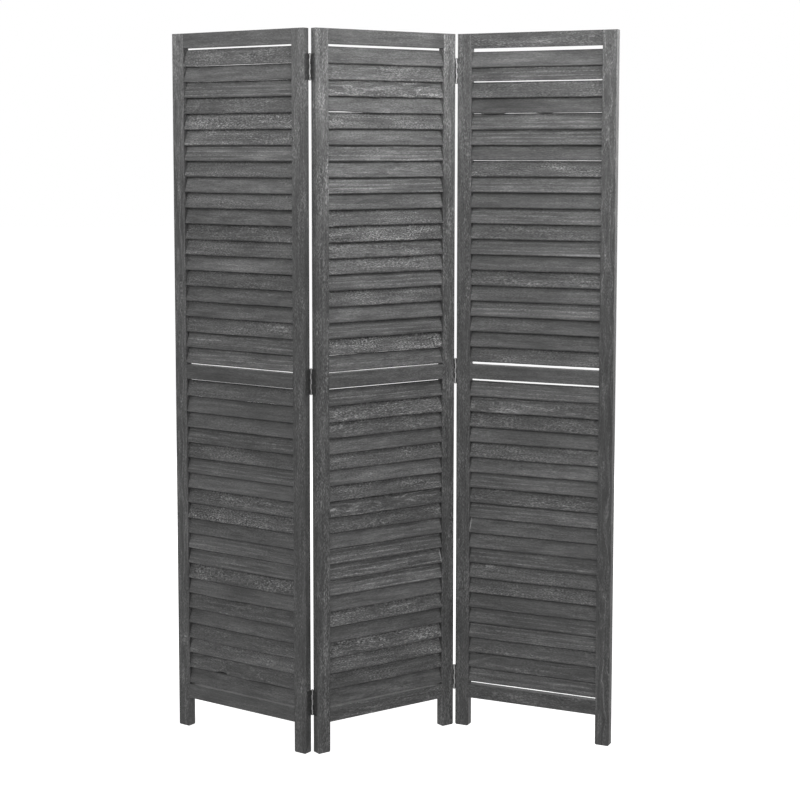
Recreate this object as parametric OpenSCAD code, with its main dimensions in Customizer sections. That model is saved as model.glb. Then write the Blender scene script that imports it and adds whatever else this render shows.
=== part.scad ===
// Folding screen: three louvred wooden panels on two folding joints, standing in a zigzag.
// Each panel is drawn flat: x along its width, y from its front face to its back face, z up.

/* [Panels] */
// Width of one panel
panel_w = 400; // [320:5:600]
// Height of the screen
panel_h = 1700; // [1300:10:2100]
// Thickness of stiles and rails
panel_t = 20; // [18:0.5:30]
// Width of a stile
stile_w = 35; // [32:1:60]
// Height of a rail
rail_h = 35; // [28:1:60]
// Clear height under the bottom rail
foot_h = 72; // [40:1:160]
// Easing radius of the long edges
edge_r = 1; // [0.5:0.1:1.2]
// Rounding of the foot corners seen from the front
foot_r = 4; // [1:0.5:8]

/* [Slats] */
// Width of a slat across its grain
slat_w = 40; // [34:1:44]
// Thickness of a slat
slat_t = 6; // [4:0.5:7]
// Lean of a slat away from upright, top edge to the back
slat_lean = 19; // [10:1:22]
// Height from one slat to the next
slat_pitch = 37.5; // [34:0.5:50]
// Least space between a rail and the slat next to it
slat_end_space = 4; // [2:0.5:12]
// Depth of the grooves that hold the slat ends
groove_depth = 8; // [5:0.5:12]
// Play of a slat in its groove, all round
groove_play = 0.15; // [0.05:0.05:0.3]
// Space between the end of a slat and the bottom of its groove
groove_end_space = 0.5; // [0.2:0.1:1.5]

/* [Dowels] */
// Diameter of a dowel
dowel_d = 8; // [6:0.5:10]
// Length of a dowel, half in the stile and half in the rail
dowel_l = 40; // [30:1:44]
// Distance between the two dowels of one joint
dowel_spacing = 16; // [12:1:18]
// Radial play of a dowel in its hole
dowel_play = 0.05; // [0.02:0.01:0.1]
// Glue space at each end of a dowel
dowel_end_space = 1; // [0.5:0.1:1.5]

/* [Hinges] */
// Height of a hinge
hinge_h = 60; // [50:1:75]
// Width of a leaf on the edge of the stile
leaf_w = 15; // [13:0.5:17]
// Thickness of a leaf
leaf_t = 1.2; // [0.8:0.1:1.5]
// Space between two panels lying flat, which both leaves fit in
panel_space = 3.4; // [3.1:0.1:6]
// Outer diameter of the knuckles
barrel_d = 5; // [4.8:0.1:6]
// Diameter of the pin
pin_d = 2.6; // [2:0.1:3]
// Radial running clearance of the pin in the knuckles
pin_play = 0.04; // [0.02:0.01:0.08]
// How far the pin stands proud of the panel's face
pin_out = 2.2; // [2:0.1:4]
// Space between neighbouring knuckles
knuckle_space = 0.2; // [0.1:0.05:0.4]
// Diameter of the pin's heads
pin_head_d = 4.2; // [3.6:0.1:4.8]
// Thickness of the pin's heads
pin_head_t = 1.2; // [0.8:0.1:2]
// From the top of the screen down to the top hinge
hinge_drop = 58; // [40:1:120]
// From the floor up to the bottom hinge
hinge_lift = 91; // [60:1:160]

/* [Screws] */
// Diameter of a screw's shank
screw_d = 3; // [2.5:0.1:3.2]
// Length of a screw over all
screw_l = 12; // [9:0.5:12.5]
// Diameter of a screw's countersunk head
screw_head_d = 5; // [4.6:0.1:5.4]
// Distance between the screws of one leaf, along the leaf
screw_spacing = 22; // [18:1:23]
// How far the outer screws stand back from the middle one, across the leaf
screw_stagger = 3; // [0:0.5:4]
// Radial play of a screw in its hole
screw_play = 0.05; // [0.02:0.01:0.1]

/* [Stance] */
// Turn of the left panel, its right end towards the viewer
left_turn = 35.5; // [5:0.5:60]
// Turn of the middle panel, its left end towards the viewer
middle_turn = 35; // [5:0.5:60]
// Turn of the right panel, its right end towards the viewer
right_turn = 25.5; // [5:0.5:60]

/* [Hidden] */
$fn = 48;
LEFT = 0;
MIDDLE = 1;
RIGHT = 2;
LEFT_EDGE = -1;
RIGHT_EDGE = 1;
PIN_BEHIND = 1;
PIN_IN_FRONT = -1;
UPPER = 1;
LOWER = 0;
wood = [0.42, 0.41, 0.40];
dark_wood = [0.36, 0.35, 0.34];
dowel_wood = [0.72, 0.62, 0.48];
steel = [0.55, 0.55, 0.56];
dark_steel = [0.24, 0.24, 0.25];
// Overshoot of a cut past the face that it opens
cut = 1;

// Slats that sit off the even spacing, as panel, slat counted from the top, and height above its place
OFF_SLATS = [
    [LEFT, 1, 1.5], [LEFT, 20, -1.8], [LEFT, 21, 2.5], [MIDDLE, 1, 0.4], [MIDDLE, 4, 0.8],
    [MIDDLE, 20, -2.4], [MIDDLE, 21, 2.1], [RIGHT, 1, -2.4], [RIGHT, 2, 2.6], [RIGHT, 4, 1.2],
    [RIGHT, 7, 0.9], [RIGHT, 20, 1.1], [RIGHT, 21, 0.2], [RIGHT, 40, 1]
];

rail_l = panel_w - 2 * stile_w;
field_h = (panel_h - foot_h - 3 * rail_h) / 2;
bottom_rail_z = foot_h;
middle_rail_z = bottom_rail_z + rail_h + field_h;
top_rail_z = panel_h - rail_h;

// A slat's section is a bar with half-round edges; its core is what lies between the edges' centres
slat_core = slat_w - slat_t;
slat_rise = slat_core * cos(slat_lean) + slat_t;
slat_depth = slat_core * sin(slat_lean) + slat_t;
slat_inset = (panel_t - slat_depth) / 2;
slats_per_field = floor((field_h - slat_rise - 2 * slat_end_space) / slat_pitch) + 1;
slat_margin = (field_h - slat_rise - (slats_per_field - 1) * slat_pitch) / 2;
slats_in_first_half = ceil(slats_per_field / 2);
slat_l = rail_l + 2 * (groove_depth - groove_end_space);

barrel_r = barrel_d / 2;
half_space = panel_space / 2;
knuckles = 5;
knuckle_h = hinge_h / knuckles;
pin_r = pin_d / 2;
leaf_root = max(0.6, barrel_r + 0.3 - pin_out);
leaf_mid = (leaf_w + leaf_root) / 2;
screw_sink = (screw_head_d - screw_d) / 2;
recess_l = screw_head_d * 0.6;
recess_w = 0.7;
recess_depth = 0.8;

function spin(a, v) = [cos(a) * v.x - sin(a) * v.y, sin(a) * v.x + cos(a) * v.y];
function panel_turn(panel) = [-left_turn, middle_turn, -right_turn][panel];
function pin_y(pin_side) = pin_side == PIN_BEHIND ? panel_t + pin_out : -pin_out;
function pin_x(edge) = edge == RIGHT_EDGE ? panel_w + half_space : -half_space;

// The middle panel is placed first, and each outer panel meets it at the shared hinge pin
left_pin = spin(middle_turn, [pin_x(LEFT_EDGE), pin_y(PIN_BEHIND)]);
right_pin = spin(middle_turn, [pin_x(RIGHT_EDGE), pin_y(PIN_IN_FRONT)]);
panel_at = [
    left_pin - spin(-left_turn, [pin_x(RIGHT_EDGE), pin_y(PIN_BEHIND)]),
    [0, 0],
    right_pin - spin(-right_turn, [pin_x(LEFT_EDGE), pin_y(PIN_IN_FRONT)])
];

// The origin is on the floor under the middle of the standing screen's box
edge_centres = [
    for (panel = [LEFT, MIDDLE, RIGHT], x = [edge_r, panel_w - edge_r], y = [edge_r, panel_t - edge_r])
        panel_at[panel] + spin(panel_turn(panel), [x, y])
];
xs = [for (c = edge_centres) c.x];
ys = [for (c = edge_centres) c.y];
middle_of_box = [(min(xs) + max(xs)) / 2, (min(ys) + max(ys)) / 2];

// Slats of one field are counted from its top
function slat_count_above(field) = field == UPPER ? 0 : slats_per_field;
function field_z(field) = field == UPPER ? middle_rail_z + rail_h : bottom_rail_z + rail_h;
function slat_offset(panel, number) =
    let (found = [for (o = OFF_SLATS) if (o[0] == panel && o[1] == number) o[2]])
    len(found) > 0 ? found[0] : 0;
function slat_z(panel, field, i) =
    field_z(field) + slat_margin + (slats_per_field - 1 - i) * slat_pitch
    + slat_offset(panel, slat_count_above(field) + i + 1);
function hinge_z(level) =
    [hinge_lift, middle_rail_z + (rail_h - hinge_h) / 2, panel_h - hinge_drop - hinge_h][level];

// Placing

module in_panel(panel) {
    p = panel_at[panel] - middle_of_box;
    translate([p.x, p.y, 0]) rotate([0, 0, panel_turn(panel)]) children();
}

// Turns a drawing of y and z into a bar that runs along x
module along_x(length) {
    rotate([90, 0, 90]) linear_extrude(length) children();
}

// Turns a drawing of x and z into a plate that runs along y, from the front face to the back face
module through_panel() {
    translate([0, panel_t, 0]) rotate([90, 0, 0]) linear_extrude(panel_t) children();
}

// Puts what is drawn round a hinge pin on an edge of the panel; it is drawn for a right edge, pin behind
module at_hinge(edge, pin_side, level) {
    translate([pin_x(edge), pin_y(pin_side), hinge_z(level)])
        mirror_if(edge == LEFT_EDGE, [1, 0, 0]) mirror_if(pin_side == PIN_IN_FRONT, [0, 1, 0]) children();
}

module mirror_if(yes, axis) {
    if (yes) mirror(axis) children();
    else children();
}

// Which edges of a panel carry hinges, and on which side the pins are
function hinge_edges(panel) =
    panel == LEFT ? [[RIGHT_EDGE, PIN_BEHIND]]
    : panel == RIGHT ? [[LEFT_EDGE, PIN_IN_FRONT]]
    : [[LEFT_EDGE, PIN_BEHIND], [RIGHT_EDGE, PIN_IN_FRONT]];

// Wood

// Rectangle with round corners, from the origin
module eased_rectangle(w, h, r) {
    translate([r, 0]) square([w - 2 * r, h]);
    translate([0, r]) square([w, h - 2 * r]);
    for (x = [r, w - r], y = [r, h - r]) translate([x, y]) circle(r);
}

// Front outline of a stile, with the foot's corners round
module stile_front() {
    translate([foot_r, 0]) square([stile_w - 2 * foot_r, panel_h]);
    translate([0, foot_r]) square([stile_w, panel_h - foot_r]);
    for (x = [foot_r, stile_w - foot_r]) translate([x, foot_r]) circle(foot_r);
}

// Section of a slat, or of its groove with some play, from its lowest point
module slat_section(play) {
    r = slat_t / 2 + play;
    translate([slat_inset + slat_t / 2, slat_t / 2]) rotate(-slat_lean) {
        circle(r);
        translate([0, slat_core]) circle(r);
        translate([-r, 0]) square([2 * r, slat_core]);
    }
}

// Grooves for all the slats of a panel, opening at x = 0 and reaching to the left
module grooves(panel) {
    for (field = [LOWER, UPPER], i = [0 : slats_per_field - 1])
        translate([-groove_depth, 0, slat_z(panel, field, i)])
            along_x(groove_depth + cut) slat_section(groove_play);
}

// Centres of the dowels along one side of a panel
function dowel_zs() = [
    for (rail_z = [bottom_rail_z, middle_rail_z, top_rail_z], side = [-1, 1])
        rail_z + rail_h / 2 + side * dowel_spacing / 2
];

// Dowels or their holes, centred on the plane x = 0
module dowel_row(zs, play, end_space) {
    for (z = zs) translate([-dowel_l / 2 - end_space, panel_t / 2, z])
        rotate([0, 90, 0]) cylinder(h = dowel_l + 2 * end_space, d = dowel_d + 2 * play);
}

// A stile drawn as the left one, its inner face at x = stile_w
module stile_blank(panel) {
    difference() {
        intersection() {
            linear_extrude(panel_h) eased_rectangle(stile_w, panel_t, edge_r);
            through_panel() stile_front();
        }
        translate([stile_w, 0, 0]) grooves(panel);
        translate([stile_w, 0, 0]) dowel_row(dowel_zs(), dowel_play, dowel_end_space);
    }
}

module stile(panel, edge) {
    color(wood) in_panel(panel) difference() {
        if (edge == LEFT_EDGE) stile_blank(panel);
        else translate([panel_w, 0, 0]) mirror([1, 0, 0]) stile_blank(panel);
        for (h = hinge_edges(panel)) if (h[0] == edge)
            for (level = [0 : 2]) at_hinge(edge, h[1], level) screw_holes();
    }
}

module rail(panel, rail_z) {
    dowels = [for (side = [-1, 1]) rail_z + rail_h / 2 + side * dowel_spacing / 2];
    color(wood) in_panel(panel) difference() {
        translate([stile_w, 0, rail_z]) along_x(rail_l) eased_rectangle(panel_t, rail_h, edge_r);
        for (x = [stile_w, panel_w - stile_w])
            translate([x, 0, 0]) dowel_row(dowels, dowel_play, dowel_end_space);
    }
}

module dowels(panel) {
    color(dowel_wood) in_panel(panel)
        for (x = [stile_w, panel_w - stile_w]) translate([x, 0, 0]) dowel_row(dowel_zs(), 0, 0);
}

// Half the slats of a field: its first half from the top, or the rest
module slats(panel, field, first_half) {
    from = first_half ? 0 : slats_in_first_half;
    to = first_half ? slats_in_first_half - 1 : slats_per_field - 1;
    color(dark_wood) in_panel(panel)
        for (i = [from : to])
            translate([(panel_w - slat_l) / 2, 0, slat_z(panel, field, i)]) along_x(slat_l) slat_section(0);
}

// Hinges, drawn round the pin axis, the leaf on the edge to the left and reaching to the front

// Places along and across the leaf for its screws, seen from the pin
screw_places = [for (i = [-1, 0, 1]) [-pin_out - leaf_mid - (abs(i) - 0.5) * screw_stagger,
                                     hinge_h / 2 + i * screw_spacing]];

// Points a drawing that is made along +z at the stile, its origin on the leaf's open face
module into_stile(place) {
    translate([leaf_t - half_space, place[0], place[1]]) rotate([0, -90, 0]) children();
}

// A countersunk screw that goes up along +z from its head's flat face
module screw_body(play) {
    shank_r = screw_d / 2 + play;
    tip_l = screw_d;
    cylinder(h = screw_sink, r1 = screw_head_d / 2 + play, r2 = shank_r);
    cylinder(h = screw_l - tip_l, r = shank_r);
    translate([0, 0, screw_l - tip_l]) cylinder(h = tip_l, r1 = shank_r, r2 = 0.4 + play);
}

module screw_holes() {
    for (place = screw_places) into_stile(place) screw_body(screw_play);
}

module hinge_screw() {
    difference() {
        screw_body(0);
        for (a = [0, 90]) rotate([0, 0, a])
            translate([-recess_l / 2, -recess_w / 2, -cut]) cube([recess_l, recess_w, recess_depth + cut]);
    }
}

module hinge_screws(panel, edge, pin_side) {
    color(steel) in_panel(panel)
        for (level = [0 : 2]) at_hinge(edge, pin_side, level)
            for (place = screw_places) into_stile(place) hinge_screw();
}

// Section of a knuckle with the strip that joins it to the leaf
module knuckle_section() {
    difference() {
        union() {
            circle(barrel_r);
            translate([-half_space, -pin_out - leaf_root]) square([leaf_t, pin_out + leaf_root]);
        }
        circle(pin_r + pin_play);
    }
}

// first_knuckle is 0 for the leaf with three knuckles and 1 for the leaf with two
module leaf_body(first_knuckle) {
    difference() {
        union() {
            translate([-half_space, -pin_out - leaf_w, 0]) cube([leaf_t, leaf_w - leaf_root, hinge_h]);
            for (k = [first_knuckle : 2 : knuckles - 1])
                translate([0, 0, k * knuckle_h + (k > 0 ? knuckle_space / 2 : 0)])
                    linear_extrude(knuckle_h - (k > 0 && k < knuckles - 1 ? 1 : 0.5) * knuckle_space)
                        knuckle_section();
        }
        screw_holes();
    }
}

module hinge_leaf(panel, edge, pin_side, level) {
    color(dark_steel) in_panel(panel) at_hinge(edge, pin_side, level) leaf_body(panel == MIDDLE ? 1 : 0);
}

module hinge_pin(edge, pin_side, level) {
    color(steel) in_panel(MIDDLE) at_hinge(edge, pin_side, level) {
        cylinder(h = hinge_h, r = pin_r);
        for (z = [-pin_head_t, hinge_h]) translate([0, 0, z]) cylinder(h = pin_head_t, d = pin_head_d);
    }
}

stile(LEFT, LEFT_EDGE);  // left_panel_left_stile
stile(LEFT, RIGHT_EDGE);  // left_panel_right_stile
rail(LEFT, top_rail_z);  // left_panel_top_rail
rail(LEFT, middle_rail_z);  // left_panel_middle_rail
rail(LEFT, bottom_rail_z);  // left_panel_bottom_rail
dowels(LEFT);  // left_panel_dowels
slats(LEFT, UPPER, true);  // left_panel_slats_top
slats(LEFT, UPPER, false);  // left_panel_slats_upper
slats(LEFT, LOWER, true);  // left_panel_slats_lower
slats(LEFT, LOWER, false);  // left_panel_slats_bottom
stile(MIDDLE, LEFT_EDGE);  // middle_panel_left_stile
stile(MIDDLE, RIGHT_EDGE);  // middle_panel_right_stile
rail(MIDDLE, top_rail_z);  // middle_panel_top_rail
rail(MIDDLE, middle_rail_z);  // middle_panel_middle_rail
rail(MIDDLE, bottom_rail_z);  // middle_panel_bottom_rail
dowels(MIDDLE);  // middle_panel_dowels
slats(MIDDLE, UPPER, true);  // middle_panel_slats_top
slats(MIDDLE, UPPER, false);  // middle_panel_slats_upper
slats(MIDDLE, LOWER, true);  // middle_panel_slats_lower
slats(MIDDLE, LOWER, false);  // middle_panel_slats_bottom
stile(RIGHT, LEFT_EDGE);  // right_panel_left_stile
stile(RIGHT, RIGHT_EDGE);  // right_panel_right_stile
rail(RIGHT, top_rail_z);  // right_panel_top_rail
rail(RIGHT, middle_rail_z);  // right_panel_middle_rail
rail(RIGHT, bottom_rail_z);  // right_panel_bottom_rail
dowels(RIGHT);  // right_panel_dowels
slats(RIGHT, UPPER, true);  // right_panel_slats_top
slats(RIGHT, UPPER, false);  // right_panel_slats_upper
slats(RIGHT, LOWER, true);  // right_panel_slats_lower
slats(RIGHT, LOWER, false);  // right_panel_slats_bottom
hinge_leaf(LEFT, RIGHT_EDGE, PIN_BEHIND, 2);  // left_fold_top_hinge_outer_leaf
hinge_leaf(MIDDLE, LEFT_EDGE, PIN_BEHIND, 2);  // left_fold_top_hinge_middle_leaf
hinge_pin(LEFT_EDGE, PIN_BEHIND, 2);  // left_fold_top_hinge_pin
hinge_leaf(LEFT, RIGHT_EDGE, PIN_BEHIND, 1);  // left_fold_middle_hinge_outer_leaf
hinge_leaf(MIDDLE, LEFT_EDGE, PIN_BEHIND, 1);  // left_fold_middle_hinge_middle_leaf
hinge_pin(LEFT_EDGE, PIN_BEHIND, 1);  // left_fold_middle_hinge_pin
hinge_leaf(LEFT, RIGHT_EDGE, PIN_BEHIND, 0);  // left_fold_bottom_hinge_outer_leaf
hinge_leaf(MIDDLE, LEFT_EDGE, PIN_BEHIND, 0);  // left_fold_bottom_hinge_middle_leaf
hinge_pin(LEFT_EDGE, PIN_BEHIND, 0);  // left_fold_bottom_hinge_pin
hinge_leaf(RIGHT, LEFT_EDGE, PIN_IN_FRONT, 2);  // right_fold_top_hinge_outer_leaf
hinge_leaf(MIDDLE, RIGHT_EDGE, PIN_IN_FRONT, 2);  // right_fold_top_hinge_middle_leaf
hinge_pin(RIGHT_EDGE, PIN_IN_FRONT, 2);  // right_fold_top_hinge_pin
hinge_leaf(RIGHT, LEFT_EDGE, PIN_IN_FRONT, 1);  // right_fold_middle_hinge_outer_leaf
hinge_leaf(MIDDLE, RIGHT_EDGE, PIN_IN_FRONT, 1);  // right_fold_middle_hinge_middle_leaf
hinge_pin(RIGHT_EDGE, PIN_IN_FRONT, 1);  // right_fold_middle_hinge_pin
hinge_leaf(RIGHT, LEFT_EDGE, PIN_IN_FRONT, 0);  // right_fold_bottom_hinge_outer_leaf
hinge_leaf(MIDDLE, RIGHT_EDGE, PIN_IN_FRONT, 0);  // right_fold_bottom_hinge_middle_leaf
hinge_pin(RIGHT_EDGE, PIN_IN_FRONT, 0);  // right_fold_bottom_hinge_pin
hinge_screws(LEFT, RIGHT_EDGE, PIN_BEHIND);  // left_panel_hinge_screws
hinge_screws(MIDDLE, LEFT_EDGE, PIN_BEHIND);  // middle_panel_left_hinge_screws
hinge_screws(MIDDLE, RIGHT_EDGE, PIN_IN_FRONT);  // middle_panel_right_hinge_screws
hinge_screws(RIGHT, LEFT_EDGE, PIN_IN_FRONT);  // right_panel_hinge_screws
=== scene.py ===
"""Looks of a folding screen: three louvred panels of grey-stained wood on steel butt hinges.

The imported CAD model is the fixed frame. Stiles, rails, dowels, hinges and screws are its own nodes in
procedural materials, and the slats are modelled here with the bows, wavy edges and chips of sawn wood.
"""

from __future__ import annotations

import logging
import math
from dataclasses import dataclass, field
from enum import Enum
from typing import Union

import bpy
import numpy as np
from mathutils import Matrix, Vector

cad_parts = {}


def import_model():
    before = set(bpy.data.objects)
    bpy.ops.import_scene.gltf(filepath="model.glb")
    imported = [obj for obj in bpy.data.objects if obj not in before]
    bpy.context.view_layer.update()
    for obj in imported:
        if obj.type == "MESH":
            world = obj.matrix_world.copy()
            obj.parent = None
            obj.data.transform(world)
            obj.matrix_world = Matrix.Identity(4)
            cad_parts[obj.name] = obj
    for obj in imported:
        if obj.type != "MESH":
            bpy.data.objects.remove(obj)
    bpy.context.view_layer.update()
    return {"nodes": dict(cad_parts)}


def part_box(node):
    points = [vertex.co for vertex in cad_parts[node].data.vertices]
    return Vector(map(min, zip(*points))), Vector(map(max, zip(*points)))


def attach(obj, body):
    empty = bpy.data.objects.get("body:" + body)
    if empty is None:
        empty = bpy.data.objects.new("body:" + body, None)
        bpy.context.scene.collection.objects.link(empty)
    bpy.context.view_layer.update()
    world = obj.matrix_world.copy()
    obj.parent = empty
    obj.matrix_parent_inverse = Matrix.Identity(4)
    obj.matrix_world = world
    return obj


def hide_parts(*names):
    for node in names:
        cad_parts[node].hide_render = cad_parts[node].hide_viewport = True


LOG = logging.getLogger("folding_screen")
MM = 0.001

Socket = bpy.types.NodeSocket
Value = Union[Socket, float, int, tuple]
Pair = tuple[float, float]
Triple = tuple[float, float, float]
Colour = tuple[float, float, float, float]
Nodes = dict[str, bpy.types.Object]


class ShaderTree:
    """Adds nodes to one node tree and links them."""

    def __init__(self, tree: bpy.types.NodeTree) -> None:
        """Wraps the node tree of a material, a world or a node group."""
        self.tree = tree

    def add(
        self, kind: str, inputs: dict[str | int, Value] | None = None, **settings: object
    ) -> bpy.types.Node:
        """Adds one shader node.

        Args:
            kind: the node's type without its ShaderNode prefix.
            inputs: a value or another node's socket for each input, by name or number.
            settings: properties of the node.

        Returns:
            The new node.
        """
        node = self.tree.nodes.new("ShaderNode" + kind)
        for name, setting in settings.items():
            setattr(node, name, setting)
        self.feed(node, inputs or {})
        return node

    def feed(self, node: bpy.types.Node, inputs: dict[str | int, Value]) -> None:
        """Sets or links inputs of a node.

        Args:
            node: the node.
            inputs: a value or another node's socket for each input, by name or number.
        """
        for key, value in inputs.items():
            if isinstance(value, bpy.types.NodeSocket):
                self.tree.links.new(value, node.inputs[key])
            else:
                node.inputs[key].default_value = value

    def math(self, operation: str, *values: Value) -> Socket:
        """Works out a Math node's operation on one to three values."""
        return self.add("Math", dict(enumerate(values)), operation=operation).outputs[0]

    def plus(self, *values: Value) -> Socket:
        """Adds values up.

        Args:
            values: two or more values.

        Returns:
            Their sum.
        """
        total = values[0]
        for value in values[1:]:
            total = self.math("ADD", total, value)
        return total

    def times(self, *values: Value) -> Socket:
        """Multiplies values.

        Args:
            values: two or more values.

        Returns:
            Their product.
        """
        product = values[0]
        for value in values[1:]:
            product = self.math("MULTIPLY", product, value)
        return product

    def vector(self, operation: str, *values: Value) -> Socket:
        """Works out a Vector Math node's operation on one to three vectors."""
        return self.add("VectorMath", dict(enumerate(values)), operation=operation).outputs["Vector"]

    def parts(self, vector: Socket) -> tuple[Socket, Socket, Socket]:
        """Splits a vector into its three components."""
        return tuple(self.add("SeparateXYZ", {0: vector}).outputs)

    def join(self, x: Value, y: Value, z: Value) -> Socket:
        """Makes a vector of three components."""
        return self.add("CombineXYZ", {0: x, 1: y, 2: z}).outputs[0]

    def noise(self, vector: Socket, scale: Triple, detail: float = 2.0) -> Socket:
        """Makes smooth noise from 0 to 1, with scale features to the metre along each axis."""
        stretched = self.vector("MULTIPLY", vector, scale)
        return self.add("TexNoise", {"Vector": stretched, "Scale": 1.0, "Detail": detail}).outputs[0]

    def swing(self, vector: Socket, scale: Triple, detail: float = 2.0) -> Socket:
        """Makes the same noise about 0, from -0.5 to 0.5."""
        return self.math("SUBTRACT", self.noise(vector, scale, detail), 0.5)

    def ramp(self, value: Value, low: float, high: float, start: float = 0.0, end: float = 1.0) -> Socket:
        """Maps a value to a result from start to end, by a smooth step between low and high."""
        sockets = {"Value": value, "From Min": low, "From Max": high, "To Min": start, "To Max": end}
        return self.add("MapRange", sockets, interpolation_type="SMOOTHSTEP").outputs[0]

    def mix(self, factor: Value, first: Value, second: Value) -> Socket:
        """Mixes two colours, the first at a factor of 0 and the second at 1."""
        return self.add("Mix", {0: factor, 6: first, 7: second}, data_type="RGBA").outputs[2]

    def bump(self, height: Value, strength: float, distance: float) -> Socket:
        """Tilts the normal by a relief whose full height is distance metres."""
        return self.add("Bump", {"Height": height, "Strength": strength, "Distance": distance}).outputs[0]

    def surface(self, inputs: dict[str, Value]) -> None:
        """Ends the material in a Principled shader with these inputs."""
        shader = self.add("BsdfPrincipled", inputs)
        self.add("OutputMaterial", {"Surface": shader.outputs[0]})


class NodeGroup:
    """A shader node group that is built once and then placed in each material that uses it."""

    name = ""
    inputs: dict[str, str] = {}
    outputs: dict[str, str] = {}

    @classmethod
    def tree(cls) -> bpy.types.NodeTree:
        """Finds the group, or builds it on the first call.

        Returns:
            The group's node tree.
        """
        found = bpy.data.node_groups.get(cls.name)
        if found:
            return found
        made = bpy.data.node_groups.new(cls.name, "ShaderNodeTree")
        for in_out, sockets in (("INPUT", cls.inputs), ("OUTPUT", cls.outputs)):
            for name, kind in sockets.items():
                made.interface.new_socket(name=name, in_out=in_out, socket_type="NodeSocket" + kind)
        tree = ShaderTree(made)
        entry = made.nodes.new("NodeGroupInput")
        results = cls.build(tree, {name: entry.outputs[name] for name in cls.inputs})
        leave = made.nodes.new("NodeGroupOutput")
        for name, socket in results.items():
            made.links.new(socket, leave.inputs[name])
        return made

    @classmethod
    def build(cls, tree: ShaderTree, given: dict[str, Socket]) -> dict[str, Socket]:
        """Builds the nodes from the group's inputs by name, and gives its outputs by name."""
        raise NotImplementedError

    @classmethod
    def place(cls, tree: ShaderTree, **values: Value) -> bpy.types.Node:
        """Places the group in a material.

        Args:
            tree: the material's nodes.
            values: a value or a socket for each input, by its name in small letters.

        Returns:
            The group's node.
        """
        node = tree.tree.nodes.new("ShaderNodeGroup")
        node.node_tree = cls.tree()
        tree.feed(node, {name.title(): value for name, value in values.items()})
        return node


class PanelSpace(NodeGroup):
    """Turns a node's own coordinates and normal into a panel's: along its width, into its depth, up."""

    name = "Panel_Space"
    inputs = {"Turn": "Float", "Corner": "Vector"}
    outputs = {"Position": "Vector", "Normal": "Vector"}

    @classmethod
    def build(cls, tree: ShaderTree, given: dict[str, Socket]) -> dict[str, Socket]:
        """Builds the group's nodes.

        Args:
            tree: where the nodes go.
            given: the group's inputs by name.

        Returns:
            What each of the group's outputs puts out.
        """
        coordinates = tree.add("TexCoord")
        back = tree.math("MULTIPLY", given["Turn"], -1.0)
        from_corner = tree.vector("SUBTRACT", coordinates.outputs["Object"], given["Corner"])
        turned = [
            tree.add("VectorRotate", {"Vector": source, "Angle": back}, rotation_type="Z_AXIS").outputs[0]
            for source in (from_corner, coordinates.outputs["Normal"])
        ]
        return {"Position": turned[0], "Normal": turned[1]}


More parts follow.
